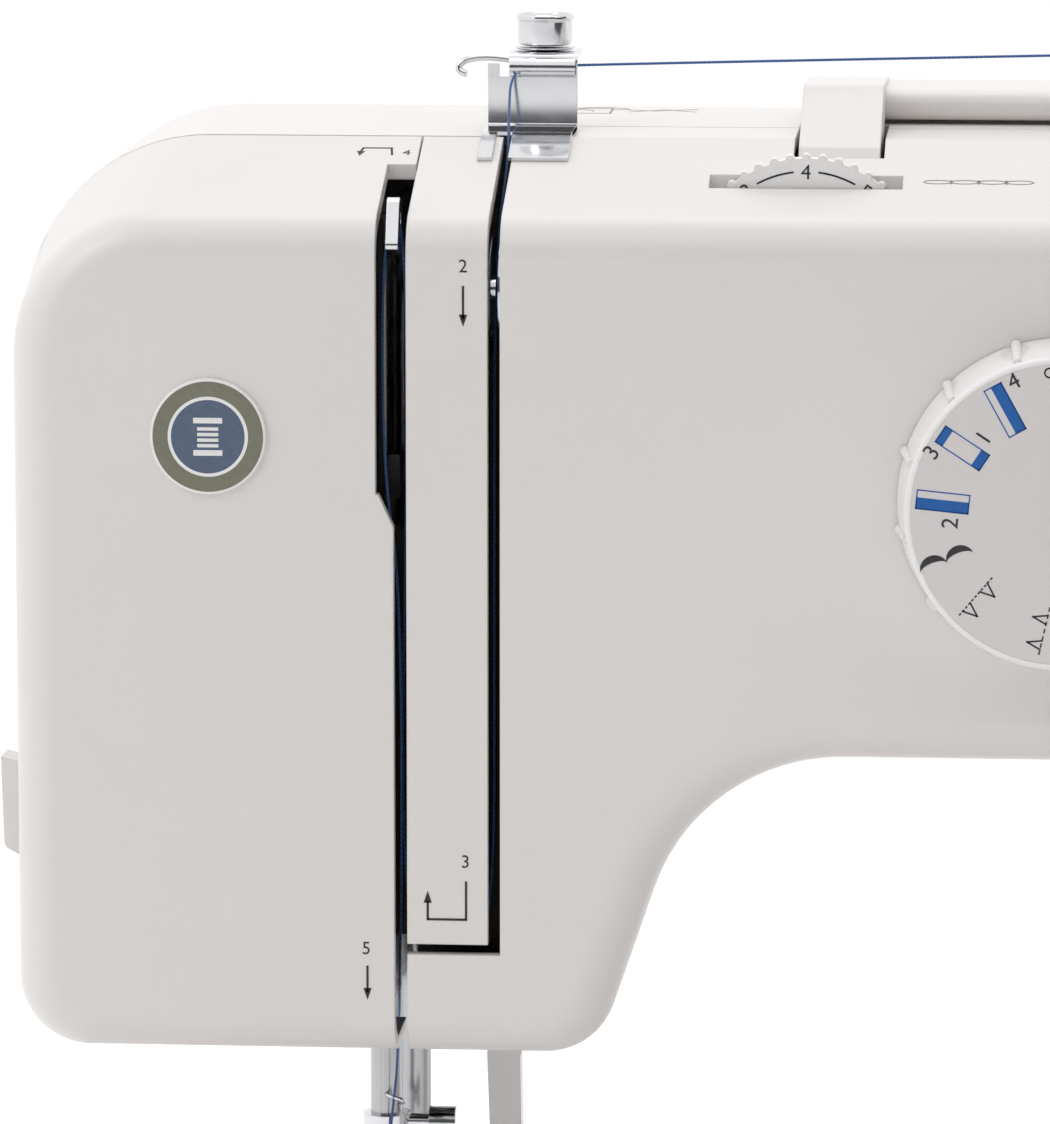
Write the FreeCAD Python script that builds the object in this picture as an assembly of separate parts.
"""Free-arm domestic sewing machine, as an assembly of separate solids.

Frame: millimetres, +Z up, +X towards the handwheel, -Y towards the person sewing.
Origin: on the table surface, under the middle of the machine.
Each sub-part is one STEP file in parts/, named after its node.
"""
import FreeCAD
import Part

import math
import os

V = FreeCAD.Vector
os.makedirs("parts", exist_ok=True)

# ---------------------------------------------------------------- driving dimensions
WALL = 2.5              # moulded cover thickness
SEAM = 0.5              # visible joint between two covers
RUN = 0.05              # radial clearance of a shaft in its bush
CLEAR = 0.3             # clearance between pieces that pass each other

CASE_LEFT = -190.0      # head, left side, at the seam
CASE_RIGHT = 172.0      # column, right side
CASE_FRONT = -55.0
CASE_REAR = 50.0
CASE_TOP = 303.0
HEAD_BOTTOM = 140.2
ARM_UNDER = 195.0
COLUMN_LEFT = 70.0
BED_TOP = 76.0
FRONT_TOP = CASE_TOP - 12.3    # where the sloping top meets the front face
FRONT_LEFT = -187.6     # the side leans out towards the rear by this much
SLOPE_BACK = -18.0      # the slope ends here, and the top is level behind it
FRONT_ROUND = 8.0
REAR_ROUND = 9.0
COVER_SEAM = 2.0        # front cover meets rear cover
SIDE_CORNER = 34.0      # big corner at the top left

NEEDLE_X = -125.0
NEEDLE_Y = -10.0
NEEDLE_BAR_R = 3.0
STROKE = 32.0           # needle bar travel
PRESSER_X = -121.0
PRESSER_Y = 4.0
PRESSER_R = 3.0
FOOT_LIFT = 6.0

SHAFT_Z = 258.0
SHAFT_R = 4.0
CRANK_R = STROKE / 2
LINK_LENGTH = 48.0

HOOK_Z = 50.0
RACE_R = 17.5
GEAR_MODULE = 0.9
PINION_TEETH = 18
SECTOR_TEETH = 42
LOWER_SHAFT_Y = 14.0

SLOT_WIDE_LEFT = -122.4     # take-up slot
STRIP_LEFT = -116.9
STRIP_RIGHT = -102.4
SLOT_RIGHT = -100.2         # right edge of the thread slot
SLOT_NARROW_LEFT = -119.2
SLOT_KNEE_HIGH = 242.6
SLOT_KNEE_LOW = 236.7
SLOT_TOP_Y = -30.0
STRIP_BOTTOM = 161.1
SLOT_BOTTOM = 159.2

PATTERN_X, PATTERN_Z = -0.5, 242.7
PATTERN_R = 30.0
PATTERN_FACE_R = 27.6
PATTERN_H = 15.0
PATTERN_STOPS = 13
LENGTH_X, LENGTH_Z, LENGTH_R = 121.0, 243.0, 17.0
TENSION_X, TENSION_Z, TENSION_R = -46.8, CASE_TOP - 22.0, 21.0
TENSION_FRONT, TENSION_REAR = -38.0, -34.0

HANDLE_LEFT = -48.7
HANDLE_LEG = 14.7
HANDLE_RIGHT = 52.0
HANDLE_PIVOT_Y, HANDLE_PIVOT_Z = -8.0, CASE_TOP - 10.0
HANDLE_TOP = CASE_TOP + 8.0
HANDLE_BACK = 36.0

CUTTER_TIP = -193.0      # leftmost point of the machine
WHEEL_R = 34.0
WHEEL_W = 18.0
WHEEL_CAP = 2.0         # hub cap, proud of the handwheel
BELT_BIG_R, BELT_SMALL_R = 27.0, 6.0
BELT_X = CASE_RIGHT - 21.0
BELT_W = 6.0
MOTOR_Y, MOTOR_Z, MOTOR_R = 14.0, 118.0, 22.0
TIMING_X, TIMING_W, TIMING_R = 84.0, 8.0, 12.0

BASE_FRONT, BASE_REAR = -80.0, 80.0
BASE_TOP = 10.0
FOOT_H = 4.0
ARM_FRONT, ARM_REAR = -42.0, 32.0
ARM_BOTTOM = 27.0
ARM_LEFT = -186.0
TABLE_LEFT = -192.0

SPOOL_Y, SPOOL_Z, SPOOL_R = 22.0, CASE_TOP + 15.0, 11.5
SPOOL_LEFT, SPOOL_RIGHT = 87.0, 135.0
PIN_R = 2.5
WINDER_X, WINDER_Y, WINDER_R = 128.0, -7.0, 2.95
WINDER_SHIFT = 8.0      # spindle slides this far to the stopper


# ---------------------------------------------------------------- helpers
def box(x0, x1, y0, y1, z0, z1):
    return Part.makeBox(x1 - x0, y1 - y0, z1 - z0, V(x0, y0, z0))


def rod(axis, a, b, r, from_, to):
    """Cylinder along 'x', 'y' or 'z' through (a, b) of the other two axes, in X, Y, Z order."""
    place = {"x": V(from_, a, b), "y": V(a, from_, b), "z": V(a, b, from_)}[axis]
    way = {"x": V(1, 0, 0), "y": V(0, 1, 0), "z": V(0, 0, 1)}[axis]
    return Part.makeCylinder(r, to - from_, place, way)


def tube(axis, a, b, r_out, r_in, from_, to):
    return rod(axis, a, b, r_out, from_, to).cut(rod(axis, a, b, r_in, from_ - 1, to + 1))


def join(*shapes):
    first, rest = shapes[0], list(shapes[1:])
    made = first.multiFuse(rest) if rest else first
    return made.removeSplitter()


def cut(shape, *tools):
    return shape.cut(list(tools)) if tools else shape


def edges_where(shape, test):
    return [e for e in shape.Edges if all(test(v.Point) for v in e.Vertexes) and test(e.CenterOfMass)]


def soften(shape, radius, test):
    """Fillet the edges whose ends and middle pass the test."""
    return shape.makeFillet(radius, edges_where(shape, test))


def upright_round(shape, radius):
    """Fillet every vertical edge."""
    picked = [e for e in shape.Edges
              if len(e.Vertexes) == 2 and abs(e.Vertexes[0].X - e.Vertexes[1].X) < 1e-6
              and abs(e.Vertexes[0].Y - e.Vertexes[1].Y) < 1e-6]
    return shape.makeFillet(radius, picked)


def polygon_inset(points, d):
    """Corners (u, v, radius), in either turning direction, moved inwards by d; arcs keep their centres."""
    n = len(points)
    ahead = points[1:] + points[:1]
    area = sum(p[0] * q[1] - q[0] * p[1] for p, q in zip(points, ahead))
    side = 1 if area > 0 else -1
    lines = []
    for i in range(n):
        (x0, z0, _), (x1, z1, _) = points[i], points[(i + 1) % n]
        length = math.hypot(x1 - x0, z1 - z0)
        ux, uz = (x1 - x0) / length, (z1 - z0) / length
        nx, nz = -uz * side, ux * side
        lines.append((x0 + nx * d, z0 + nz * d, ux, uz))
    made = []
    for i in range(n):
        ax, az, au, aw = lines[i - 1]
        bx, bz, bu, bw = lines[i]
        cross = au * bw - aw * bu
        t = ((bx - ax) * bw - (bz - az) * bu) / cross
        convex = cross * side > 0
        r = points[i][2]
        if r:
            r = max(r - d, 0.3) if convex else r + d
        made.append((ax + au * t, az + aw * t, r))
    return made


def outline(points, y):
    """Closed wire in the plane Y = y through corners (x, z, radius), with tangent arcs at the corners."""
    n = len(points)
    spans = []
    for i in range(n):
        x, z, r = points[i]
        here = V(x, y, z)
        if not r:
            spans.append((here, None, here))
            continue
        before, after = points[i - 1], points[(i + 1) % n]
        a = (V(before[0], y, before[1]) - here).normalize()
        b = (V(after[0], y, after[1]) - here).normalize()
        half = a.getAngle(b) / 2
        reach = r / math.tan(half)
        middle = (a + b).normalize()
        centre = here + middle * (r / math.sin(half))
        spans.append((here + a * reach, centre - middle * r, here + b * reach))
    edges = []
    for i in range(n):
        start, mid, end = spans[i]
        if mid is not None:
            edges.append(Part.Arc(start, mid, end).toShape())
        following = spans[(i + 1) % n][0]
        if (following - end).Length > 1e-6:
            edges.append(Part.makeLine(end, following))
    return Part.Wire(edges)


def plate_y(points, y0, y1):
    """Solid with an XZ outline, from y0 to y1."""
    return Part.Face(outline(points, y0)).extrude(V(0, y1 - y0, 0))


def plate_x(points, x0, x1):
    """Solid with a YZ outline of corners (y, z, radius), from x0 to x1."""
    flat = Part.Face(outline(points, 0)).extrude(V(0, x1 - x0, 0))
    # the XZ drawing plane turns onto YZ: (x, y, z) -> (y, x, z) keeps the outline's own axes
    turn = FreeCAD.Matrix(0, 1, 0, x0, 1, 0, 0, 0, 0, 0, 1, 0)
    made = flat.transformGeometry(turn)
    return Part.Solid(made.Shells[0]) if made.Volume > 0 else made.reversed()


def plate_z(points, z0, z1):
    """Solid with an XY outline of corners (x, y, radius), from z0 to z1."""
    flat = Part.Face(outline(points, 0)).extrude(V(0, z1 - z0, 0))
    flat.rotate(V(0, 0, 0), V(1, 0, 0), 90)
    flat.translate(V(0, 0, z0))
    return flat.mirror(V(0, 0, 0), V(0, 1, 0))


def ribbed_disc(x, z, r, y0, y1, ribs, rib_r, phase=0.0):
    """A disc on the Y axis with small round ribs on its rim."""
    made = rod("y", x, z, r, y0, y1)
    beads = []
    for i in range(ribs):
        a = math.radians(phase) + 2 * math.pi * i / ribs
        beads.append(rod("y", x + r * math.cos(a), z + r * math.sin(a), rib_r, y0, y1))
    return join(made, *beads)


def gear_outline(x, z, teeth, module, y, first_deg, count=None):
    """Points of straight-sided teeth about (x, z) in the XZ plane. Backlash keeps a meshing pair apart."""
    r_pitch = module * teeth / 2
    r_tip, r_root = r_pitch + 0.8 * module, r_pitch - 1.15 * module
    step = 2 * math.pi / teeth
    points = []
    for i in range(teeth if count is None else count):
        middle = math.radians(first_deg) + i * step
        for r, share in ((r_root, -0.31), (r_tip, -0.13), (r_tip, 0.13), (r_root, 0.31)):
            a = middle + share * step
            points.append(V(x + r * math.cos(a), y, z + r * math.sin(a)))
    return points


def path_tube(points, radius, bend=None):
    """Round tube along straight runs that tangent arcs join, in millimetres."""
    pts = [V(*p) for p in points]
    edges, at = [], pts[0]
    for i in range(1, len(pts) - 1):
        a, b = (pts[i - 1] - pts[i]), (pts[i + 1] - pts[i])
        short = min(a.Length, b.Length)
        a.normalize()
        b.normalize()
        half = a.getAngle(b) / 2
        reach = 0.45 * short if bend is None else min(0.45 * short, bend / math.tan(half))
        r = reach * math.tan(half)
        middle = (a + b).normalize()
        centre = pts[i] + middle * (r / math.sin(half))
        start, end = pts[i] + a * reach, pts[i] + b * reach
        edges.append(Part.makeLine(at, start))
        edges.append(Part.Arc(start, centre - middle * r, end).toShape())
        print("thread bend radius %.1f mm" % r)
        at = end
    edges.append(Part.makeLine(at, pts[-1]))
    path = Part.Wire(edges)
    ring = Part.Wire(Part.makeCircle(radius, pts[0], pts[1] - pts[0]))
    made = path.makePipeShell([ring], True, False)
    ratio = made.Volume / (math.pi * radius ** 2 * path.Length)
    print("thread length %.1f mm, volume ratio %.3f" % (path.Length, ratio))
    return made


SAVED = {}


def save(name, shape):
    solids = shape.Solids
    assert solids, name
    made = solids[0] if len(solids) == 1 else Part.makeCompound(solids)
    bad = [s for s in solids if not s.isValid() or s.Volume <= 0]
    if bad:
        print("PROBLEM in", name, len(bad), "of", len(solids), "solids")
    made.exportStep("parts/%s.step" % name)
    SAVED[name] = made


# ---------------------------------------------------------------- the case, cut into its covers
def case_corners(left, top, corner, drop=0.0):
    """Front view of head, arm and column. drop lengthens the open foot of the column."""
    return [
        (left, HEAD_BOTTOM, 13.0),
        (left, top, corner),
        (CASE_RIGHT, top, 22.0),
        (CASE_RIGHT, BED_TOP - drop, 0),
        (COLUMN_LEFT, BED_TOP - drop, 0),
        (COLUMN_LEFT, ARM_UNDER, 24.0),
        (-64.6, ARM_UNDER, 36.0),
        (-83.2, HEAD_BOTTOM, 13.0),
    ]


def case_solid(d):
    """The case's outside for d = 0, or its inside d millimetres in, with a column that runs below the bed."""
    drop = 10.0 if d else 0.0
    seam = outline(polygon_inset(case_corners(CASE_LEFT, CASE_TOP, SIDE_CORNER, drop), d), SLOPE_BACK)
    front = outline(polygon_inset(case_corners(FRONT_LEFT, FRONT_TOP, 25.0, drop), d), CASE_FRONT + d)
    nose = Part.makeLoft([front, seam], True, True)
    back = Part.Face(seam).extrude(V(0, CASE_REAR - d - SLOPE_BACK, 0))
    made = nose.fuse(back)
    made = soften(made, FRONT_ROUND - d, lambda p: abs(p.y - CASE_FRONT - d) < 1e-3 and p.z > BED_TOP + 0.1)
    made = soften(made, REAR_ROUND - d, lambda p: abs(p.y - CASE_REAR + d) < 1e-3 and p.z > BED_TOP + 0.1)
    return made


outside = case_solid(0.0)
inside = case_solid(WALL)
shell = outside.cut(inside)
print("case", outside.isValid(), inside.isValid(), shell.isValid(), round(shell.Volume))

FAR = 400.0
HALF = SEAM / 2
# openings that several covers share
needle_hole = box(-134.0, -112.0, -33.0, 12.0, HEAD_BOTTOM - 5, HEAD_BOTTOM + 5)
lifter_hole = box(-114.5, -98.5, 10.0, CASE_REAR + 5, HEAD_BOTTOM - 5, 178.0)
shaft_hole = rod("x", NEEDLE_Y, SHAFT_Z, 9.0, CASE_RIGHT - 8, CASE_RIGHT + 8)
handle_notches = [
    box(x0 - 0.8, x0 + HANDLE_LEG + 0.8, -26.0, 9.0, CASE_TOP - 25.0, CASE_TOP + 10)
    for x0 in (HANDLE_LEFT, HANDLE_RIGHT - HANDLE_LEG)
]
winder_hole = box(WINDER_X - 4.2, WINDER_X + WINDER_SHIFT + 4.2, WINDER_Y - 4.2, WINDER_Y + 4.2,
                  CASE_TOP - 6, CASE_TOP + 2)
second_pin_hole = rod("z", 152.0, 30.0, 2.6, CASE_TOP - 12, CASE_TOP + 2)

# face cover: everything in front of the slope's back, left of the take-up slot
take_up_slot = join(
    box(SLOT_WIDE_LEFT, -110.0, -70.0, SLOT_TOP_Y, SLOT_KNEE_HIGH, 320.0),
    plate_y([(SLOT_WIDE_LEFT, SLOT_KNEE_HIGH + 1, 0), (-110.0, SLOT_KNEE_HIGH + 1, 0),
             (-110.0, SLOT_KNEE_LOW, 0), (SLOT_NARROW_LEFT, SLOT_KNEE_LOW, 0)], -70.0, SLOT_TOP_Y),
    box(SLOT_NARROW_LEFT, -110.0, -70.0, SLOPE_BACK + 8, 120.0, SLOT_KNEE_LOW + 1),
)
left_front = box(-FAR, STRIP_LEFT - CLEAR, -FAR, SLOPE_BACK - HALF, 0, FAR)
face_cover = shell.common(left_front).cut([take_up_slot, needle_hole])
HINGE_IN = 3.8          # face hinge axis, in from the side and from the seam
HINGE_X, HINGE_Y = CASE_LEFT + HINGE_IN, SLOPE_BACK - HINGE_IN
HINGE_LOW, HINGE_HIGH = 165.0, 260.0
hinge_bosses = [rod("z", HINGE_X, HINGE_Y, 2.3, z, z + 14.0) for z in (HINGE_LOW, HINGE_HIGH - 14.0)]
hinge_notches = [box(CASE_LEFT - 2, HINGE_X + 3.5, HINGE_Y - 4.0, SLOPE_BACK + 1, z - 0.4, z + 7.4)
                 for z in (HINGE_LOW - 7.6, HINGE_HIGH + 0.6)]
face_cover = join(face_cover.cut(hinge_notches), *hinge_bosses).cut(
    rod("z", HINGE_X, HINGE_Y, 1.0 + RUN, 100.0, 320.0))

# strip between the two thread slots
strip_box = box(STRIP_LEFT, STRIP_RIGHT, -FAR, SLOPE_BACK - HALF, STRIP_BOTTOM, FAR)
threading_panel = shell.common(strip_box)
strip_posts = [box(-111.0, -107.0, CASE_FRONT + WALL - 0.2, -47.0, z, z + 6) for z in (180.0, 270.0)]
threading_panel = join(threading_panel, *strip_posts)

# front and rear covers
front_right = join(
    box(SLOT_RIGHT, FAR, -FAR, COVER_SEAM - HALF, SLOT_BOTTOM, FAR),
    box(STRIP_LEFT, FAR, -FAR, SLOPE_BACK - HALF, 0, SLOT_BOTTOM + 0.001),
    box(STRIP_LEFT, FAR, -FAR, COVER_SEAM - HALF, 0, SLOT_BOTTOM + 0.001),
)
tension_slot = box(TENSION_X - 17.3, TENSION_X + 17.2, TENSION_FRONT - 0.7, TENSION_REAR + 0.8,
                   TENSION_Z + 4.0, CASE_TOP + 5)
pattern_hole = rod("y", PATTERN_X, PATTERN_Z, 4.3, CASE_FRONT - 5, CASE_FRONT + 8)
length_hole = rod("y", LENGTH_X, LENGTH_Z, 3.3, CASE_FRONT - 5, CASE_FRONT + 8)
REVERSE_X, REVERSE_Z = 121.0, 150.0
reverse_hole = box(REVERSE_X - 15.5, REVERSE_X + 15.5, CASE_FRONT - 5, CASE_FRONT + 8,
                   REVERSE_Z - 14.0, REVERSE_Z + 9.5)
front_openings = [needle_hole, tension_slot, pattern_hole, length_hole, reverse_hole, shaft_hole, winder_hole]
front_cover = shell.common(front_right).cut(front_openings + handle_notches)

rear_region = join(
    box(-FAR, SLOT_RIGHT - 0.001, SLOPE_BACK + HALF, FAR, 0, FAR),
    box(SLOT_RIGHT - 1, FAR, COVER_SEAM + HALF, FAR, 0, FAR),
)
front_low_back = box(STRIP_LEFT - SEAM, SLOT_RIGHT, -FAR, COVER_SEAM + HALF, 0, SLOT_BOTTOM + SEAM)
thread_notch = box(-103.2, SLOT_RIGHT + 0.6, SLOPE_BACK - 2, -9.0, CASE_TOP - 6, CASE_TOP + 5)
SWITCH_X, SWITCH_Y, SWITCH_Z = CASE_RIGHT - 4.0, 28.0, 128.0
SWITCH_PIN = 1.2
INLET_Z = 100.0
INLET_HALF_W, INLET_HALF_H = 12.0, 9.0
switch_hole = box(CASE_RIGHT - 6, CASE_RIGHT + 6, SWITCH_Y - 7.5, SWITCH_Y + 7.5,
                  SWITCH_Z - 11.4, SWITCH_Z + 11.4)
inlet_hole = box(CASE_RIGHT - 6, CASE_RIGHT + 6, SWITCH_Y - INLET_HALF_W - CLEAR, SWITCH_Y + INLET_HALF_W + CLEAR,
                 INLET_Z - INLET_HALF_H - CLEAR, INLET_Z + INLET_HALF_H + CLEAR)
swing_relief = rod("z", HINGE_X, HINGE_Y, math.hypot(HINGE_IN, HINGE_IN) + CLEAR, 100.0, 320.0)
rear_openings = [front_low_back, swing_relief, needle_hole, lifter_hole, shaft_hole, thread_notch,
                 switch_hole, inlet_hole, second_pin_hole]
rear_cover = shell.common(rear_region).cut(rear_openings + handle_notches)
switch_bore = rod("y", SWITCH_X, SWITCH_Z, SWITCH_PIN + RUN, SWITCH_Y - 20, SWITCH_Y + 20)
switch_ears = [box(SWITCH_X - 3.0, CASE_RIGHT - WALL + 0.2, y, y + 2.2, SWITCH_Z - 2.6, SWITCH_Z + 2.6).cut(switch_bore)
               for y in (SWITCH_Y - 9.9, SWITCH_Y + 7.7)]
second_pin_boss = cut(rod("z", 152.0, 30.0, 5.0, CASE_TOP - 14, CASE_TOP - 1), second_pin_hole)
rear_cover = join(rear_cover, second_pin_boss, *switch_ears)
hinge_lugs = [join(box(HINGE_X - 0.9, HINGE_X + 2.3, HINGE_Y - 2.3, SLOPE_BACK + 6, z, z + 7),
                   box(CASE_LEFT + 1.0, HINGE_X + 2.3, SLOPE_BACK + HALF, SLOPE_BACK + 6, z, z + 7)).cut(
                       rod("z", HINGE_X, HINGE_Y, 1.0, 100.0, 320.0)) for z in (HINGE_LOW - 7.6, HINGE_HIGH + 0.6)]
rear_cover = join(rear_cover, *hinge_lugs)
save("face_cover", face_cover)
save("threading_panel", threading_panel)
STOPPER_X = WINDER_X + 24.0
stopper = soften(rod("z", STOPPER_X, WINDER_Y, 6.0, CASE_TOP - 1.0, CASE_TOP + 9.0), 1.0,
                 lambda p: abs(p.z - CASE_TOP - 9.0) < 1e-3)
front_cover = join(front_cover, stopper)
save("front_cover", front_cover)
save("rear_cover", rear_cover)

# ---------------------------------------------------------------- fittings on the head
badge = soften(rod("y", -152.2, 252.8, 10.4, CASE_FRONT - 0.9, CASE_FRONT), 0.4,
               lambda p: abs(p.y - CASE_FRONT + 0.9) < 1e-3)
save("badge", badge)

# white hook-shaped cutter on the left side of the face cover, with its steel blade
cutter_body = plate_y([(CUTTER_TIP, 190.6, 0), (CUTTER_TIP + 6.0, 189.0, 0), (CUTTER_TIP + 6.0, 171.0, 0),
                       (CUTTER_TIP + 0.5, 174.0, 1.5)], -36.0, -28.0)
cutter_body = cutter_body.cut(inside).cut(face_cover)
save("thread_cutter", max(cutter_body.Solids, key=lambda s: s.Volume))

# black guide channel behind the thread slots
CHANNEL_Y = -40.0
channel = join(
    box(-124.6, -97.0, CHANNEL_Y - 1.5, CHANNEL_Y, 148.0, 290.5),
    box(-124.6, -123.1, -51.5, CHANNEL_Y - 1.4, 148.0, 281.0),
    box(-99.0, -97.0, -51.5, CHANNEL_Y - 1.4, 148.0, 281.0),
    box(-113.0, -106.0, -46.6, CHANNEL_Y - 1.4, 165.0, 284.0),
)
lever_window = box(-122.2, -116.4, -60.0, CHANNEL_Y + 2, 234.0, 300.0)
disc_window = box(-106.8, -96.0, -60.0, CHANNEL_Y + 2, 266.0, 300.0)
narrow_window = box(-120.6, -116.2, -60.0, CHANNEL_Y + 2, 140.0, 160.0)
save("thread_channel", cut(channel, lever_window, disc_window, narrow_window))

# bent chrome thread guide on top of the case
GUIDE_L, GUIDE_R, GUIDE_T = -106.4, -90.0, 0.9
STUD_X, STUD_Y = -96.4, 2.5
guide_rise = CASE_TOP + 10.6    # top of the bent plate
guide_profile = [
    (-17.2, CASE_TOP + 0.05, 0), (-2.4, CASE_TOP + 0.05, 1.0), (-2.4, guide_rise - 1.0, 1.6),
    (9.0, guide_rise - 1.0, 0),
    (9.0, guide_rise - 1.0 + GUIDE_T, 0), (-3.6, guide_rise - 1.0 + GUIDE_T, 2.4),
    (-3.6, CASE_TOP + 0.05 + GUIDE_T, 0.4), (-17.2, CASE_TOP + 0.05 + GUIDE_T, 0),
]
guide = plate_x(guide_profile, GUIDE_L, GUIDE_R)
guide = cut(
    guide,
    box(GUIDE_L - 1, -100.6, -20.0, -8.0, CASE_TOP - 5, CASE_TOP + 6),
    box(-104.4, -102.3, -10.0, 5.0, CASE_TOP + 5.2, CASE_TOP + 27.0),
    rod("z", STUD_X, STUD_Y, 1.6, CASE_TOP - 3.0, CASE_TOP + 27.0),
)
guide_rail = rod("x", -5.0, guide_rise - 1.6, 1.5, -101.8, GUIDE_R)
hook_arm = box(-111.4, GUIDE_L + 0.5, 4.0, 8.4, guide_rise - 1.0, guide_rise - 1.0 + GUIDE_T)
hook_curl = rod("y", -111.4, guide_rise - 2.1, 1.9, 4.0, 8.4).cut(
    [rod("y", -111.4, guide_rise - 2.1, 1.1, 0.0, 12.0),
     box(-111.4, -108.0, 0.0, 12.0, CASE_TOP + 2.0, guide_rise - 1.05)])
guide = join(guide, guide_rail, hook_arm, hook_curl)
guide_foot = rod("z", -92.5, 6.4, 1.0, CASE_TOP + 0.05, guide_rise - 0.9)
save("top_thread_guide", join(guide, guide_foot))

# pre-tension: stud, two discs and a knurl-free round nut
pre_base = guide_rise - 1.0 + GUIDE_T
stud = rod("z", STUD_X, STUD_Y, 1.5, CASE_TOP + 0.1, CASE_TOP + 14.4)
pre_discs = [tube("z", STUD_X, STUD_Y, 5.6, 1.7, pre_base + low, pre_base + low + 0.6) for low in (0.05, 1.25)]
NUT_TOP = CASE_TOP + 16.0
pre_nut = soften(rod("z", STUD_X, STUD_Y, 5.3, pre_base + 2.0, NUT_TOP), 1.2,
                 lambda p: abs(p.z - NUT_TOP) < 1e-3)
pre_nut = pre_nut.cut(rod("z", STUD_X, STUD_Y, 1.55, CASE_TOP, CASE_TOP + 14.5))
save("pretension_unit", Part.makeCompound([stud] + pre_discs + [pre_nut]))

# main tension: two discs seen edge-on through the thread slot, on a stud with a release spring
TENS_Y, TENS_Z, TENS_R = -38.0, 277.5, 9.6
tension_stud = rod("x", TENS_Y, TENS_Z, 2.0, -106.5, -88.0)
tension_plates = []
for x, dish in ((-103.4, -1), (-101.2, 1)):
    plate = rod("x", TENS_Y, TENS_Z, TENS_R, x, x + 0.8).cut(rod("x", TENS_Y, TENS_Z, 2.2, x - 1, x + 2))
    plate = plate.fuse(tube("x", TENS_Y, TENS_Z, 5.0, 2.2, x + dish * 0.5, x + 0.8 + dish * 0.5))
    tension_plates.append(plate)
coil = tube("x", TENS_Y, TENS_Z, 4.2, 3.0, -98.6, -91.0)
tension_nut = tube("x", TENS_Y, TENS_Z, 5.5, 2.05, -90.6, -88.2)
save("tension_discs", Part.makeCompound([tension_stud] + tension_plates + [coil, tension_nut]))

# ---------------------------------------------------------------- dials and buttons
tension_wheel = ribbed_disc(TENSION_X, TENSION_Z, TENSION_R - 0.6, TENSION_FRONT, TENSION_REAR, 44, 0.75)
tension_wheel = join(tension_wheel, rod("y", TENSION_X, TENSION_Z, 4.0, TENSION_REAR, TENSION_REAR + 8))
save("tension_dial", tension_wheel)

knob = Part.makeCone(PATTERN_R - 0.8, PATTERN_FACE_R, PATTERN_H,
                     V(PATTERN_X, CASE_FRONT - CLEAR, PATTERN_Z), V(0, -1, 0))
knob = soften(knob, 0.9, lambda p: abs(p.y - (CASE_FRONT - CLEAR - PATTERN_H)) < 1e-3)
beads = []
for i in range(PATTERN_STOPS):
    a = math.radians(107.0) + 2 * math.pi * i / PATTERN_STOPS
    bead = Part.makeCone(0.95, 0.7, PATTERN_H - 1.2, V(0, 0, 0), V(0, -1, 0))
    tilt = math.degrees(math.atan((PATTERN_R - 0.8 - PATTERN_FACE_R) / PATTERN_H))
    bead.rotate(V(0, 0, 0), V(0, 0, 1), -tilt)
    bead.translate(V(PATTERN_R - 0.9, 0, 0))
    bead.rotate(V(0, 0, 0), V(0, -1, 0), math.degrees(a))
    bead.translate(V(PATTERN_X, CASE_FRONT - CLEAR, PATTERN_Z))
    beads.append(bead)
knob_hollow = Part.makeCone(PATTERN_R - 3.2, PATTERN_FACE_R - 3.0, PATTERN_H - 2.5,
                            V(PATTERN_X, CASE_FRONT - CLEAR, PATTERN_Z), V(0, -1, 0))
pattern_stem = rod("y", PATTERN_X, PATTERN_Z, 4.0, CASE_FRONT - PATTERN_H + 1, CASE_FRONT + 14)
save("pattern_dial", join(cut(join(knob, *beads), knob_hollow), pattern_stem))

length_knob = ribbed_disc(LENGTH_X, LENGTH_Z, LENGTH_R - 0.8, CASE_FRONT - CLEAR - 11, CASE_FRONT - CLEAR,
                          9, 0.9, 10.0)
length_knob = join(length_knob, rod("y", LENGTH_X, LENGTH_Z, 3.0, CASE_FRONT - 5, CASE_FRONT + 14))
save("length_dial", length_knob)

# reverse lever: a paddle in a slot on the column, with a hub on a pin behind the cover
paddle = box(REVERSE_X - 14.0, REVERSE_X + 14.0, CASE_FRONT - 9.0, CASE_FRONT + 1.0,
             REVERSE_Z - 5.5, REVERSE_Z + 5.5)
paddle = paddle.makeFillet(2.2, [e for e in paddle.Edges if e.CenterOfMass.y < CASE_FRONT + 0.5])
reverse_arm = box(REVERSE_X - 5.0, REVERSE_X + 5.0, CASE_FRONT - 2.0, -22.0, REVERSE_Z - 2.5, REVERSE_Z + 2.5)
REVERSE_PIVOT_Y = -20.0
reverse_hub = tube("x", REVERSE_PIVOT_Y, REVERSE_Z, 5.0, 2.0 + RUN, REVERSE_X - 6, REVERSE_X + 6)
save("reverse_lever", cut(join(paddle, reverse_arm, reverse_hub),
                          rod("x", REVERSE_PIVOT_Y, REVERSE_Z, 2.0 + RUN, REVERSE_X - 8, REVERSE_X + 8)))

switch = box(CASE_RIGHT - 4, CASE_RIGHT + 2.2, SWITCH_Y - 6.8, SWITCH_Y + 6.8, SWITCH_Z - 9.0, SWITCH_Z + 9.0)
switch = switch.makeFillet(1.0, [e for e in switch.Edges if e.CenterOfMass.x > CASE_RIGHT])
switch = join(switch, rod("y", SWITCH_X, SWITCH_Z, SWITCH_PIN, SWITCH_Y - 9.4, SWITCH_Y + 9.4))
save("power_switch", switch)
inlet = cut(
    box(CASE_RIGHT - 18, CASE_RIGHT + 0.4, SWITCH_Y - INLET_HALF_W, SWITCH_Y + INLET_HALF_W,
        INLET_Z - INLET_HALF_H, INLET_Z + INLET_HALF_H),
    box(CASE_RIGHT - 15, CASE_RIGHT + 1, SWITCH_Y - INLET_HALF_W + WALL, SWITCH_Y + INLET_HALF_W - WALL,
        INLET_Z - INLET_HALF_H + WALL, INLET_Z + INLET_HALF_H - WALL),
)
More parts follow.
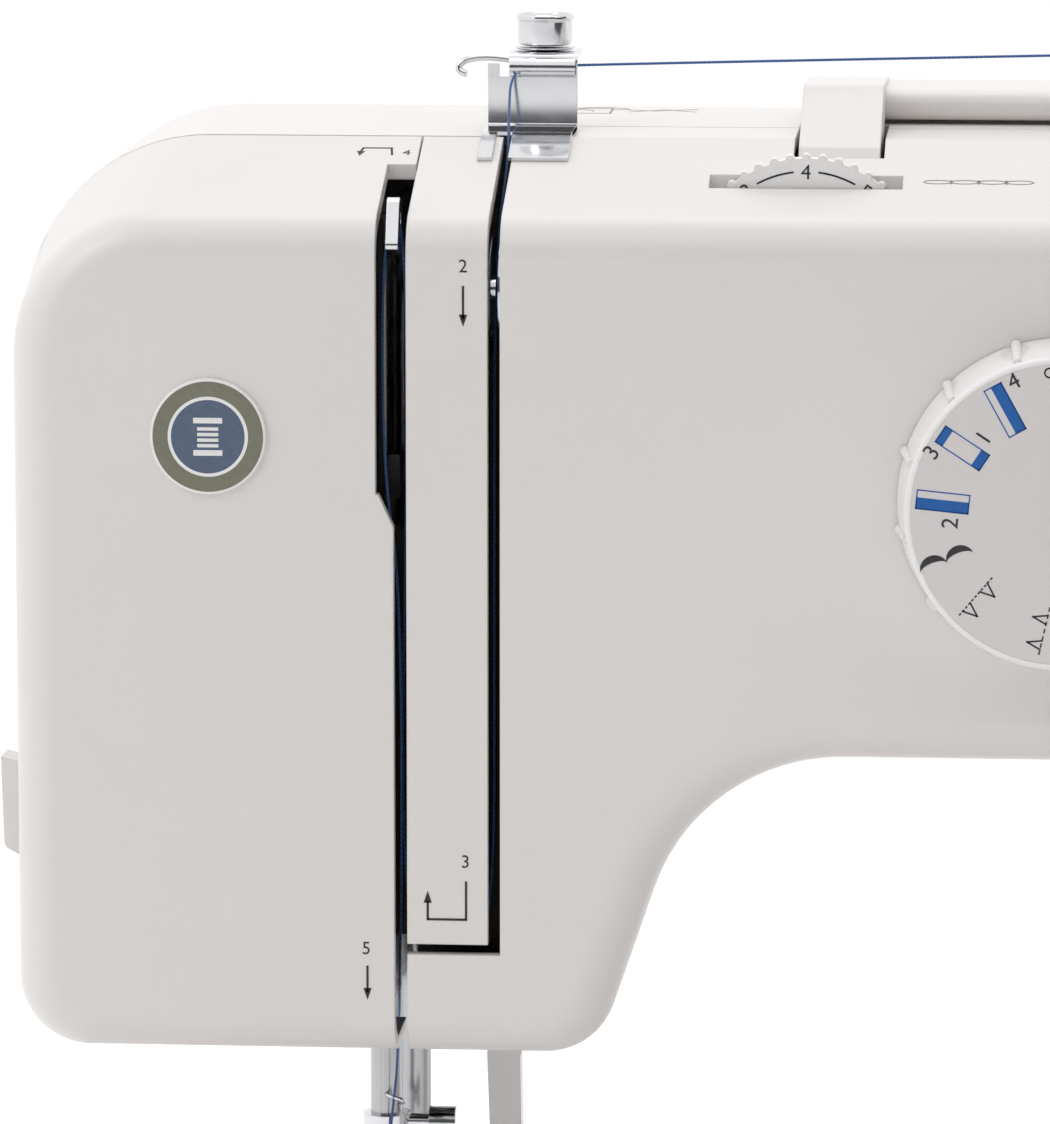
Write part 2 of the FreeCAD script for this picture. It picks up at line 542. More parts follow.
pins = [rod("x", SWITCH_Y + dy, INLET_Z, 1.2, CASE_RIGHT - 16, CASE_RIGHT - 4) for dy in (-5.5, 0, 5.5)]
save("power_inlet", join(inlet, *pins))

# ---------------------------------------------------------------- carrying handle
leg_profile = [
    (-25.2, CASE_TOP - 4.4, 0.8), (-22.0, CASE_TOP - 1.0, 2.0), (0.0, HANDLE_TOP, 6.0),
    (HANDLE_BACK, HANDLE_TOP - 1.5, 3.0),
    (HANDLE_BACK, CASE_TOP + 0.8, 2.0), (4.0, CASE_TOP + 0.8, 2.0), (-1.0, HANDLE_PIVOT_Z - 6.0, 4.0),
    (-13.0, HANDLE_PIVOT_Z - 6.0, 5.0), (-25.2, CASE_TOP - 8.0, 1.0),
]
legs = [plate_x(leg_profile, x0, x0 + HANDLE_LEG) for x0 in (HANDLE_LEFT, HANDLE_RIGHT - HANDLE_LEG)]
grip_profile = [(9.0, CASE_TOP + 0.8, 2.0), (9.0, HANDLE_TOP - 1.8, 3.0), (HANDLE_BACK, HANDLE_TOP - 1.8, 3.0),
                (HANDLE_BACK, CASE_TOP + 0.8, 2.0)]
grip = plate_x(grip_profile, HANDLE_LEFT + 3.0, HANDLE_RIGHT - 3.0)
handle = cut(join(legs[0], legs[1], grip),
             rod("x", HANDLE_PIVOT_Y, HANDLE_PIVOT_Z, 2.0 + RUN, -80.0, 80.0))
save("carry_handle", handle)

# hinge pins: two for the handle, one for the face cover
handle_pins = [rod("x", HANDLE_PIVOT_Y, HANDLE_PIVOT_Z, 2.0, x0 - 5.0, x0 + HANDLE_LEG + 5.0)
               for x0 in (HANDLE_LEFT, HANDLE_RIGHT - HANDLE_LEG)]
face_pin = rod("z", HINGE_X, HINGE_Y, 1.0, HINGE_LOW - 7.6, HINGE_HIGH + 7.6)
reverse_pin = rod("x", REVERSE_PIVOT_Y, REVERSE_Z, 2.0, REVERSE_X - 12, REVERSE_X + 12)
save("hinge_pins", Part.makeCompound(handle_pins + [face_pin, reverse_pin]))

# ---------------------------------------------------------------- main shaft, belts and motor
main_shaft = rod("x", NEEDLE_Y, SHAFT_Z, SHAFT_R, -104.0, CASE_RIGHT + 4.0)
upper_pulley = tube("x", NEEDLE_Y, SHAFT_Z, TIMING_R, SHAFT_R - 0.5, TIMING_X, TIMING_X + TIMING_W)
worm = tube("x", NEEDLE_Y, SHAFT_Z, 7.0, SHAFT_R - 0.5, 20.0, 36.0)
save("main_shaft", join(main_shaft, upper_pulley, worm))

crank = rod("x", NEEDLE_Y, SHAFT_Z, 21.0, -106.0, -99.0)
crank = cut(crank, box(-110, -95, NEEDLE_Y - 30, NEEDLE_Y - 8, SHAFT_Z - 2, SHAFT_Z + 30),
            box(-110, -95, NEEDLE_Y + 8, NEEDLE_Y + 30, SHAFT_Z - 2, SHAFT_Z + 30),
            rod("x", NEEDLE_Y, SHAFT_Z, SHAFT_R, -104.0, -90.0))
crank_pin = rod("x", NEEDLE_Y, SHAFT_Z + CRANK_R, 3.0, -116.0, -105.0)
save("crank_wheel", join(crank, crank_pin))

wheel_x0 = CASE_RIGHT + 1.0
wheel = rod("x", NEEDLE_Y, SHAFT_Z, WHEEL_R, wheel_x0, wheel_x0 + WHEEL_W)
wheel = soften(wheel, 4.0, lambda p: p.x > wheel_x0 + WHEEL_W - 1e-3)
hollow = rod("x", NEEDLE_Y, SHAFT_Z, WHEEL_R - 7.0, wheel_x0 - 1, wheel_x0 + 8.0)
grooves = []
for i in range(20):
    a = 2 * math.pi * i / 20
    groove_y, groove_z = NEEDLE_Y + (WHEEL_R + 1.2) * math.cos(a), SHAFT_Z + (WHEEL_R + 1.2) * math.sin(a)
    grooves.append(rod("x", groove_y, groove_z, 2.2, wheel_x0 - 1, wheel_x0 + WHEEL_W - 5.0))
hub_neck = rod("x", NEEDLE_Y, SHAFT_Z, 7.5, BELT_X - 2.0, wheel_x0 + 9.0)
big_pulley = cut(rod("x", NEEDLE_Y, SHAFT_Z, BELT_BIG_R + 2.5, BELT_X - 2.0, BELT_X + BELT_W + 2.0),
                 tube("x", NEEDLE_Y, SHAFT_Z, BELT_BIG_R + 5, BELT_BIG_R, BELT_X - 0.5, BELT_X + BELT_W + 0.5))
cap = rod("x", NEEDLE_Y, SHAFT_Z, 14.0, wheel_x0 + WHEEL_W - 1, wheel_x0 + WHEEL_W + WHEEL_CAP)
save("handwheel", cut(join(cut(wheel, hollow, *grooves), hub_neck, big_pulley, cap),
                      rod("x", NEEDLE_Y, SHAFT_Z, SHAFT_R, BELT_X - 5, CASE_RIGHT + 4.0)))


def belt(y0, z0, r0, y1, z1, r1, x0, x1, thick):
    """Closed flat belt round two pulleys, clear of them by CLEAR."""
    span = math.hypot(y1 - y0, z1 - z0)
    lean = math.atan2(z1 - z0, y1 - y0)
    spread = math.acos((r0 - r1) / span)

    def loop(extra):
        ra, rb = r0 + CLEAR + extra, r1 + CLEAR + extra
        pts = {}
        for tag, sign in (("l", 1), ("r", -1)):
            a = lean + sign * spread
            pts["a" + tag] = V(x0, y0 + ra * math.cos(a), z0 + ra * math.sin(a))
            pts["b" + tag] = V(x0, y1 + rb * math.cos(a), z1 + rb * math.sin(a))
        far_a = V(x0, y0 - ra * math.cos(lean), z0 - ra * math.sin(lean))
        far_b = V(x0, y1 + rb * math.cos(lean), z1 + rb * math.sin(lean))
        ring = Part.Wire([
            Part.makeLine(pts["al"], pts["bl"]),
            Part.Arc(pts["bl"], far_b, pts["br"]).toShape(),
            Part.makeLine(pts["br"], pts["ar"]),
            Part.Arc(pts["ar"], far_a, pts["al"]).toShape(),
        ])
        return Part.Face(ring).extrude(V(x1 - x0, 0, 0))

    return loop(thick).cut(loop(0.0))


save("drive_belt", belt(NEEDLE_Y, SHAFT_Z, BELT_BIG_R, MOTOR_Y, MOTOR_Z, BELT_SMALL_R,
                        BELT_X, BELT_X + BELT_W, 2.0))
save("timing_belt", belt(NEEDLE_Y, SHAFT_Z, TIMING_R, LOWER_SHAFT_Y, HOOK_Z, TIMING_R, TIMING_X + 0.5,
                         TIMING_X + TIMING_W - 0.5, 1.8))

motor_body = soften(rod("x", MOTOR_Y, MOTOR_Z, MOTOR_R, 98.0, 143.0), 2.0, lambda p: True)
motor_feet = box(104.0, 137.0, MOTOR_Y - 10, MOTOR_Y + 26.2, MOTOR_Z - 26, MOTOR_Z - 18)
save("motor", cut(join(motor_body, motor_feet), rod("x", MOTOR_Y, MOTOR_Z, 3.0 + RUN, 90.0, 160.0)))
motor_pulley = join(rod("x", MOTOR_Y, MOTOR_Z, 3.0, 96.0, BELT_X + BELT_W + 4),
                    rod("x", MOTOR_Y, MOTOR_Z, BELT_SMALL_R, BELT_X - 1.5, BELT_X + BELT_W + 1.5))
save("motor_pulley", motor_pulley)

# ---------------------------------------------------------------- arm casting and bushes
WEB_FRONT, WEB_REAR = CASE_REAR - 9.8, CASE_REAR - 5.8
CAST_JOINT = 79.0       # arm casting stands on the bed casting
CAST_TOP = CASE_TOP - 7.0
LIFT_Y, LIFT_Z = 22.0, 158.0
TAKE_Y, TAKE_Z = 4.0, 264.0
GUIDE_LOW, GUIDE_HIGH = (152.0, 158.0), (206.0, 211.0)
BUSH_R = 7.0
bush_places = [(-97.0, -91.0), (57.0, 63.0), (140.0, 146.0)]
brackets = [box(a + 1, b - 1, NEEDLE_Y - 14, WEB_FRONT + 1, SHAFT_Z - 16, SHAFT_Z + 16) for a, b in bush_places]
presser_guides = [box(PRESSER_X - 6.0, PRESSER_X + 4.2, PRESSER_Y - 5.8, WEB_FRONT + 1, low, high)
                  for low, high in (GUIDE_LOW, GUIDE_HIGH)]
handle_ears = []
for x0 in (HANDLE_LEFT, HANDLE_RIGHT - HANDLE_LEG):
    for side in (x0 - 4.6, x0 + HANDLE_LEG + 1.6):
        handle_ears.append(box(side, side + 3.0, HANDLE_PIVOT_Y - 4, WEB_FRONT + 1,
                               HANDLE_PIVOT_Z - 8, HANDLE_PIVOT_Z + 4))
web = join(
    plate_y([(-142.0, 150.0, 3), (-142.0, CAST_TOP, 4), (164.0, CAST_TOP, 20), (164.0, CAST_JOINT, 3),
             (78.0, CAST_JOINT, 3), (78.0, 204.0, 8), (-84.0, 204.0, 8), (-96.0, 150.0, 3)],
            WEB_FRONT, WEB_REAR),
    *brackets, *presser_guides, *handle_ears,
    box(-142.0, -138.5, -4.0, WEB_FRONT + 1, 240.0, 290.0),
    rod("y", NEEDLE_X, 285.0, 2.4, -5.2, WEB_FRONT + 1),
    rod("x", TAKE_Y, TAKE_Z, 4.0, -140.0, -117.9),
    box(-97.0, -93.0, LIFT_Y - 5, WEB_FRONT + 1, LIFT_Z - 6, LIFT_Z + 6),
    rod("x", LIFT_Y, LIFT_Z, 3.0, -111.2, -93.0),
    box(109.0, 112.0, -24.0, WEB_FRONT + 1, REVERSE_Z - 5, REVERSE_Z + 5),
    box(-160.0, -141.0, 10.0, WEB_FRONT + 1, 196.0, 200.0),
    rod("z", -158.0, 4.0, 8.0, 186.0, 206.0),
)
lifter_window = box(-117.4, -98.0, WEB_FRONT - 1, WEB_REAR + 1, 140.0, 182.0)
bores = [rod("x", NEEDLE_Y, SHAFT_Z, BUSH_R, a - 2, b + 2) for a, b in bush_places]
presser_bores = rod("z", PRESSER_X, PRESSER_Y, PRESSER_R + RUN, 145.0, 220.0)
save("arm_casting", cut(
    web, *bores, presser_bores, lifter_window, rod("z", -158.0, 4.0, 5.6, 180.0, 204.0),
    rod("x", HANDLE_PIVOT_Y, HANDLE_PIVOT_Z, 2.0, -80.0, 80.0),
    rod("x", REVERSE_PIVOT_Y, REVERSE_Z, 2.0, 100.0, 120.0)))

# ---------------------------------------------------------------- needle bar, its frame and link
CLAMP_Z = SHAFT_Z + CRANK_R - LINK_LENGTH
NEEDLE_TIP = 90.0
CLAMP_LOW, BAR_LOW, BAR_TOP = 114.4, 115.5, 280.0
CLAMP_TOP, SHANK_TOP, SHANK_R = 119.4, 123.0, 1.0
needle_bar = join(
    rod("z", NEEDLE_X, NEEDLE_Y, NEEDLE_BAR_R, BAR_LOW, BAR_TOP),
    tube("z", NEEDLE_X, NEEDLE_Y, 4.4, NEEDLE_BAR_R - 0.5, CLAMP_Z - 5, CLAMP_Z + 5),
    rod("x", NEEDLE_Y, CLAMP_Z, 3.0, NEEDLE_X, -117.8),
)
save("needle_bar", cut(needle_bar, rod("z", NEEDLE_X, NEEDLE_Y, SHANK_R, BAR_LOW - 1, SHANK_TOP)))
clamp = join(
    tube("z", NEEDLE_X, NEEDLE_Y, 4.4, NEEDLE_BAR_R, BAR_LOW, CLAMP_TOP),
    rod("z", NEEDLE_X, NEEDLE_Y, 4.4, CLAMP_LOW, BAR_LOW),
    rod("x", NEEDLE_Y, CLAMP_LOW + 3.2, 1.5, NEEDLE_X + 3.6, NEEDLE_X + 9.0),
    rod("x", NEEDLE_Y, CLAMP_LOW + 3.2, 3.0, NEEDLE_X + 8.0, NEEDLE_X + 13.0),
)
save("needle_clamp", cut(clamp, rod("z", NEEDLE_X, NEEDLE_Y, SHANK_R, CLAMP_LOW - 1, BAR_LOW + 1)))
needle = join(rod("z", NEEDLE_X, NEEDLE_Y, SHANK_R, CLAMP_LOW - 1.0, SHANK_TOP),
              rod("z", NEEDLE_X, NEEDLE_Y, 0.45, NEEDLE_TIP + 3, CLAMP_LOW - 0.9),
              Part.makeCone(0.05, 0.45, 3.0, V(NEEDLE_X, NEEDLE_Y, NEEDLE_TIP), V(0, 0, 1)))
save("needle", cut(needle, rod("y", NEEDLE_X, NEEDLE_TIP + 4.5, 0.22, NEEDLE_Y - 2, NEEDLE_Y + 2)))
frame_plate = plate_y([(-133.5, 290.0, 3), (-121.8, 290.0, 3), (-121.8, 146.0, 1), (-133.5, 146.0, 1)], -5.4, -3.0)
eye_blocks = [box(-130.5, -121.8, -15.0, -5.0, z, z + 8) for z in (146.0, 236.0)]
save("needle_bar_frame", cut(join(frame_plate, *eye_blocks),
                             rod("z", NEEDLE_X, NEEDLE_Y, NEEDLE_BAR_R + RUN, 130.0, 286.0),
                             rod("y", NEEDLE_X, 285.0, 2.4 + RUN, -10, 0)))
link_x0, link_x1 = -115.6, -110.6
link = join(
    rod("x", NEEDLE_Y, SHAFT_Z + CRANK_R, 6.5, link_x0, link_x1),
    rod("x", NEEDLE_Y, CLAMP_Z, 6.0, link_x0, link_x1),
    box(link_x0, link_x1, NEEDLE_Y - 3.2, NEEDLE_Y + 3.2, CLAMP_Z, SHAFT_Z + CRANK_R),
)
save("needle_link", cut(link, rod("x", NEEDLE_Y, SHAFT_Z + CRANK_R, 3.0 + RUN, -120, -100),
                        rod("x", NEEDLE_Y, CLAMP_Z, 3.4, -120, -100)))

# take-up lever: flat steel arm with an eye at its tip, in the plane of the slot
EYE_Y, EYE_Z = -49.5, 292.0
take_x0, take_x1 = -120.6, -118.4
reach = math.hypot(EYE_Y - TAKE_Y, EYE_Z - TAKE_Z)
rise = math.degrees(math.atan2(EYE_Z - TAKE_Z, TAKE_Y - EYE_Y))
arm_points = [(4.0, -4.5, 2), (reach - 12, -2.0, 6), (reach - 1.0, -7.0, 1.0), (reach + 1.6, -7.0, 1.0),
              (reach + 2.4, 3.2, 2.2), (reach - 6.0, 3.2, 3), (reach - 16, 2.0, 8), (4.0, 4.5, 2)]
blade = plate_x([(-u, w, r) for u, w, r in arm_points], 0.0, take_x1 - take_x0)
eye = rod("x", -reach + 1.6, 0.2, 1.2, -3, 6)
blade = cut(blade, eye)
blade.rotate(V(0, 0, 0), V(1, 0, 0), -rise)
blade.translate(V(take_x0, TAKE_Y, TAKE_Z))
hub = rod("x", TAKE_Y, TAKE_Z, 7.0, take_x0, take_x1)
save("take_up_lever", cut(join(blade, hub), rod("x", TAKE_Y, TAKE_Z, 4.0 + RUN, -130, -110)))

# ---------------------------------------------------------------- presser bar, foot and lifter
SOLE_Z = 78.0
presser_bar = join(
    rod("z", PRESSER_X, PRESSER_Y, PRESSER_R, 92.0, 236.0),
    box(PRESSER_X - 5.0, PRESSER_X + 9.0, PRESSER_Y - 5.6, LIFT_Y + 14.0, 168.0, 176.0),
)
save("presser_bar", presser_bar)
save("presser_spring", tube("z", PRESSER_X, PRESSER_Y, 4.6, 3.5, 176.3, GUIDE_HIGH[0] - 0.3))
ANKLE_Y, ANKLE_Z = PRESSER_Y - 1.0, SOLE_Z + 6.0
holder = join(
    box(PRESSER_X - 8.6, PRESSER_X - PRESSER_R, PRESSER_Y - 4.0, PRESSER_Y + 4.0, 87.4, 102.0),
    box(PRESSER_X - 8.6, PRESSER_X + 3.2, PRESSER_Y - 4.0, PRESSER_Y + 2.5, 87.4, 92.0),
    box(PRESSER_X - 6.8, PRESSER_X + 0.8, ANKLE_Y - 2.6, ANKLE_Y + 2.6, ANKLE_Z - 2.4, 88.0),
    rod("x", PRESSER_Y, 97.0, 4.4, PRESSER_X - 17.0, PRESSER_X - 12.0),
    rod("x", PRESSER_Y, 97.0, 1.5, PRESSER_X - 13.0, PRESSER_X - 3.5),
)
save("foot_holder", cut(holder, rod("x", ANKLE_Y, ANKLE_Z, 1.1 + RUN, -135.0, -110.0)))
FOOT_HALF = 9.0
sole = box(NEEDLE_X - FOOT_HALF, NEEDLE_X + FOOT_HALF, -22.0, 14.0, SOLE_Z, SOLE_Z + 1.6)
toe = plate_x([(-22.0, SOLE_Z, 0), (-27.5, SOLE_Z + 2.6, 0.5), (-27.5, SOLE_Z + 4.2, 0.5), (-21.5, SOLE_Z + 1.6, 0)],
              NEEDLE_X - FOOT_HALF, NEEDLE_X + FOOT_HALF)
ears = [box(x, x + 1.8, ANKLE_Y - 2.6, ANKLE_Y + 2.6, SOLE_Z + 1.0, ANKLE_Z + 2.0) for x in (-130.0, -119.8)]
ankle_pin = rod("x", ANKLE_Y, ANKLE_Z, 1.1, -130.0, -118.0)
save("presser_foot", cut(join(sole, toe, ears[0], ears[1], ankle_pin),
                         box(NEEDLE_X - 4.3, NEEDLE_X + 4.3, NEEDLE_Y - 2.2, NEEDLE_Y + 2.2, 70, 90),
                         box(NEEDLE_X - 0.7, NEEDLE_X + 0.7, -30.0, NEEDLE_Y, 70, 90)))

lever_face = [(-111.4, 150.0, 3), (-111.4, 163.0, 3), (-101.0, 163.0, 3), (-101.0, 145.0, 3), (-98.9, 138.0, 2),
              (-98.9, 132.0, 3), (-102.3, 124.0, 4), (-101.8, 90.0, 2.5), (-107.4, 90.0, 2.5),
              (-108.6, 124.0, 4), (-107.6, 140.0, 6)]
lifter = join(plate_y(lever_face, LIFT_Y - 3.0, LIFT_Y + 3.0), rod("x", LIFT_Y, LIFT_Z, 6.5, -111.4, -101.0),
              box(-116.2, -111.0, LIFT_Y, LIFT_Y + 14.6, LIFT_Z - 3.0, LIFT_Z + 3.0))
save("lifter_lever", cut(lifter, rod("x", LIFT_Y, LIFT_Z, 3.0 + RUN, -111.3, -80)))

# lamp in the head
bulb = join(rod("z", -158.0, 4.0, 5.5, 176.0, 192.0), Part.makeSphere(5.5, V(-158.0, 4.0, 176.0)))
save("lamp_bulb", bulb)

# ---------------------------------------------------------------- bed: castings, lower shaft, hook drive
PINION_R = GEAR_MODULE * PINION_TEETH / 2
SECTOR_R = GEAR_MODULE * SECTOR_TEETH / 2
SECTOR_X = NEEDLE_X + PINION_R + SECTOR_R
BED_WEB_FRONT, BED_WEB_REAR = 24.5, 28.0
STEP_FRONT, STEP_REAR = 30.5, 34.5
SCREW_Y = 14.0
PLATE_SCREWS_X = (-148.0, -102.0)
bed_casting = join(
    box(-150.0, 76.0, BED_WEB_FRONT, BED_WEB_REAR, 32.0, 70.0),
    box(73.0, 76.0, BED_WEB_FRONT, STEP_REAR, 32.0, 70.0),
    box(73.0, 160.0, STEP_FRONT, STEP_REAR, 32.0, 70.0),
    box(78.0, 160.0, STEP_FRONT, STEP_REAR, 32.0, CAST_JOINT),
    box(100.0, 160.0, STEP_FRONT, WEB_REAR, CAST_JOINT - 5, CAST_JOINT),
    box(-75.0, -71.0, LOWER_SHAFT_Y - 10, BED_WEB_FRONT + 1, 38.0, 62.0),
    box(60.0, 64.0, LOWER_SHAFT_Y - 10, BED_WEB_FRONT + 1, 38.0, 62.0),
    box(-133.0, -117.0, -4.0, 5.0, 42.0, 62.0),
    box(-133.0, -117.0, 4.0, BED_WEB_FRONT + 1, 60.0, 62.0),
    rod("y", SECTOR_X, HOOK_Z, 3.0, 6.0, BED_WEB_FRONT + 1),
    box(-150.0, -146.0, -30.0, BED_WEB_FRONT + 1, 66.0, BED_TOP - 2.4),
    box(-150.0, -146.0, BED_WEB_FRONT - 1, BED_WEB_REAR, 60.0, BED_TOP - 2.4),
    box(-104.0, -100.0, -3.0, BED_WEB_FRONT + 1, 70.4, BED_TOP - 2.4),
    box(-104.0, -100.0, BED_WEB_FRONT - 1, BED_WEB_REAR, 60.0, BED_TOP - 2.4),
)
LBUSH_R = 6.0
save("bed_casting", cut(
    bed_casting, rod("y", NEEDLE_X, HOOK_Z, 4.0 + RUN, -10, 22), rod("x", LOWER_SHAFT_Y, HOOK_Z, LBUSH_R, -80, 70),
    *[rod("z", x, SCREW_Y, 1.5, 60.0, 80.0) for x in PLATE_SCREWS_X]))
upper_bushes = [tube("x", NEEDLE_Y, SHAFT_Z, BUSH_R, SHAFT_R + RUN, a, b) for a, b in bush_places]
lower_bushes = [tube("x", LOWER_SHAFT_Y, HOOK_Z, LBUSH_R, 3.5 + RUN, a, b)
                for a, b in ((-76.0, -70.0), (59.0, 65.0))]
save("shaft_bushes", Part.makeCompound(upper_bushes + lower_bushes))

lower_shaft = join(
    rod("x", LOWER_SHAFT_Y, HOOK_Z, 3.5, -80.0, 96.0),
    rod("x", LOWER_SHAFT_Y, HOOK_Z, TIMING_R, TIMING_X, TIMING_X + TIMING_W),
    rod("x", LOWER_SHAFT_Y, HOOK_Z + 1.5, 6.5, 20.0, 28.0),
    rod("x", LOWER_SHAFT_Y, HOOK_Z, 7.0, -84.0, -79.5),
)
save("lower_shaft", lower_shaft)

pinion_points = gear_outline(NEEDLE_X, HOOK_Z, PINION_TEETH, GEAR_MODULE, 8.0, 180.0 / PINION_TEETH)
pinion = Part.Face(Part.makePolygon(pinion_points + [pinion_points[0]])).extrude(V(0, 8.0, 0))
hook_shaft = join(pinion, rod("y", NEEDLE_X, HOOK_Z, 4.0, -15.4, 18.0))
sector_count = 17
sector_first = 180.0 - (sector_count - 1) / 2 * 360.0 / SECTOR_TEETH
sector_points = gear_outline(SECTOR_X, HOOK_Z, SECTOR_TEETH, GEAR_MODULE, 8.5, sector_first, sector_count)
sector_back = [V(SECTOR_X + 4.0, 8.5, HOOK_Z - 7.0), V(SECTOR_X + 4.0, 8.5, HOOK_Z + 7.0)]
sector_ring = Part.makePolygon(sector_points + sector_back + [sector_points[0]])
sector = Part.Face(sector_ring).extrude(V(0, 6.5, 0))
save("sector_gear", cut(join(sector, rod("y", SECTOR_X, HOOK_Z, 7.0, 8.5, 15.0)),
                        rod("y", SECTOR_X, HOOK_Z, 3.0 + RUN, 0, 20)))

race = cut(
    tube("y", NEEDLE_X, HOOK_Z, RACE_R, 15.9, -35.5, -13.2),
    box(NEEDLE_X - 5, NEEDLE_X + 5, -40.0, -10.0, HOOK_Z + 10, HOOK_Z + 20),
)
race_lip = cut(tube("y", NEEDLE_X, HOOK_Z, RACE_R, 13.4, -35.5, -34.0),
               box(NEEDLE_X - 5, NEEDLE_X + 5, -40.0, -10.0, HOOK_Z + 10, HOOK_Z + 20))
race_lugs = [box(x - 3.5, x + 3.5, -20.0, -13.2, HOOK_Z - 4, HOOK_Z + 4).cut(
    rod("y", NEEDLE_X, HOOK_Z, 16.5, -40, 0)) for x in (NEEDLE_X - 19.5, NEEDLE_X + 19.5)]
save("shuttle_race", join(race, race_lip, *race_lugs))
hook = cut(
    tube("y", NEEDLE_X, HOOK_Z, 15.6, 12.9, -33.6, -17.0),
    plate_y([(NEEDLE_X + 2, HOOK_Z + 3, 0), (NEEDLE_X + 17, HOOK_Z + 18, 0), (NEEDLE_X - 6, HOOK_Z + 18, 0)], -40, -10),
)
hook = join(hook, cut(rod("y", NEEDLE_X, HOOK_Z, 15.6, -17.5, -15.4),
                      plate_y([(NEEDLE_X, HOOK_Z + 6, 0), (NEEDLE_X + 17, HOOK_Z + 18, 0), (NEEDLE_X - 6, HOOK_Z + 18, 0)],
                              -40, -10)))
save("shuttle_hook", join(hook, hook_shaft))
case_cup = cut(rod("y", NEEDLE_X, HOOK_Z, 12.5, -33.4, -18.6), rod("y", NEEDLE_X, HOOK_Z, 10.9, -32.2, -18.0))
case_cup = join(case_cup, rod("y", NEEDLE_X, HOOK_Z, 2.8, -32.6, -18.6),
                box(NEEDLE_X - 3.0, NEEDLE_X + 3.0, -35.0, -33.2, HOOK_Z - 2, HOOK_Z + 11))
save("bobbin_case", case_cup)
bobbin = join(tube("y", NEEDLE_X, HOOK_Z, 10.2, 3.0, -31.4, -30.4), tube("y", NEEDLE_X, HOOK_Z, 10.2, 3.0, -20.6, -19.6),
              tube("y", NEEDLE_X, HOOK_Z, 5.0, 3.0, -31.4, -19.6))
save("bobbin", bobbin)

# needle plate, feed dog
plate = plate_z([(-156.0, -38.0, 5), (-94.0, -38.0, 5), (-94.0, 28.0, 5), (-156.0, 28.0, 5)], BED_TOP - 2.4, BED_TOP)
feed_slots = [box(NEEDLE_X + dx - 1.3, NEEDLE_X + dx + 1.3, NEEDLE_Y + y0, NEEDLE_Y + y1, 60, 80)
              for dx, y0, y1 in ((-7.0, -16, 16), (7.0, -16, 16), (-3.4, 3.5, 16), (3.4, 3.5, 16), (0.0, -16, -4))]
needle_slot = box(NEEDLE_X - 3.9, NEEDLE_X + 3.9, NEEDLE_Y - 0.9, NEEDLE_Y + 0.9, 60, 80)
screw_sinks = [rod("z", x, SCREW_Y, 3.0, BED_TOP - 1.2, BED_TOP + 1) for x in PLATE_SCREWS_X]
screw_bores = [rod("z", x, SCREW_Y, 1.7, BED_TOP - 5, BED_TOP + 1) for x in PLATE_SCREWS_X]
save("needle_plate", cut(plate, needle_slot, *feed_slots, *screw_sinks, *screw_bores))
DOG_TOP = BED_TOP + 0.9
TOOTH_PITCH = 1.5
dog_rows = []
for dx, y0, y1 in ((-7.0, -12, 12), (7.0, -12, 12), (-3.4, 6.5, 12), (3.4, 6.5, 12), (0.0, -12.5, -7.5)):
    row = box(NEEDLE_X + dx - 0.8, NEEDLE_X + dx + 0.8, NEEDLE_Y + y0, NEEDLE_Y + y1, 71.0, DOG_TOP)
    nicks = []
    for i in range(int((y1 - y0) / TOOTH_PITCH)):
        y = NEEDLE_Y + y0 + 0.6 + TOOTH_PITCH * i
        nicks.append(plate_x([(y, DOG_TOP + 0.3, 0), (y + 1.0, DOG_TOP + 0.3, 0), (y + 0.5, DOG_TOP - 0.8, 0)],
                             NEEDLE_X + dx - 2, NEEDLE_X + dx + 2))
    dog_rows.append(row.cut(nicks))
dog_base = cut(box(NEEDLE_X - 9.5, NEEDLE_X + 9.5, NEEDLE_Y - 14, NEEDLE_Y + 13.5, 70.2, 72.2),
               box(NEEDLE_X - 5.5, NEEDLE_X + 5.5, NEEDLE_Y - 5, NEEDLE_Y + 4.5, 65, 75))
save("feed_dog", join(dog_base, *dog_rows))
feed_bar = box(NEEDLE_X + 9.8, -78.0, NEEDLE_Y - 3.0, NEEDLE_Y + 5.0, 68.8, 71.0)
feed_bar = join(feed_bar, box(NEEDLE_X - 8.0, NEEDLE_X + 10.5, NEEDLE_Y + 6.5, NEEDLE_Y + 12.5, 68.8, 70.0),
                box(NEEDLE_X + 9.8, NEEDLE_X + 16.0, NEEDLE_Y - 3.0, NEEDLE_Y + 12.5, 68.8, 70.0))
save("feed_bar", feed_bar)

# ---------------------------------------------------------------- bed cover, base, extension table
free_arm = box(ARM_LEFT, COLUMN_LEFT + WALL, ARM_FRONT, ARM_REAR, ARM_BOTTOM, BED_TOP)


def upright_at(shape, x):
    """The tall upright edges in the plane X = x."""
    return [e for e in shape.Edges
            if abs(e.CenterOfMass.x - x) < 1e-6 and abs(e.Vertexes[0].Z - e.Vertexes[1].Z) > 10]


ARM_CORNER = 14.0
free_arm = free_arm.makeFillet(ARM_CORNER, upright_at(free_arm, ARM_LEFT))
free_arm = soften(free_arm, 1.6, lambda p: abs(p.z - BED_TOP) < 1e-3 and p.x < COLUMN_LEFT + 5)
arm_hollow = box(ARM_LEFT + WALL, COLUMN_LEFT + 20, ARM_FRONT + WALL, ARM_REAR - WALL,
                 ARM_BOTTOM + WALL, BED_TOP - WALL)
arm_hollow = arm_hollow.makeFillet(ARM_CORNER - WALL, upright_at(arm_hollow, ARM_LEFT + WALL))
block = upright_round(box(COLUMN_LEFT, CASE_RIGHT, BASE_FRONT, BASE_REAR, BASE_TOP + 0.2, BED_TOP), 9.0)
block = soften(block, 3.0, lambda p: abs(p.z - BED_TOP) < 1e-3)
block_hollow = upright_round(
    box(COLUMN_LEFT + WALL, CASE_RIGHT - WALL, BASE_FRONT + WALL, BASE_REAR - WALL, 0, BED_TOP - WALL), 6.5)
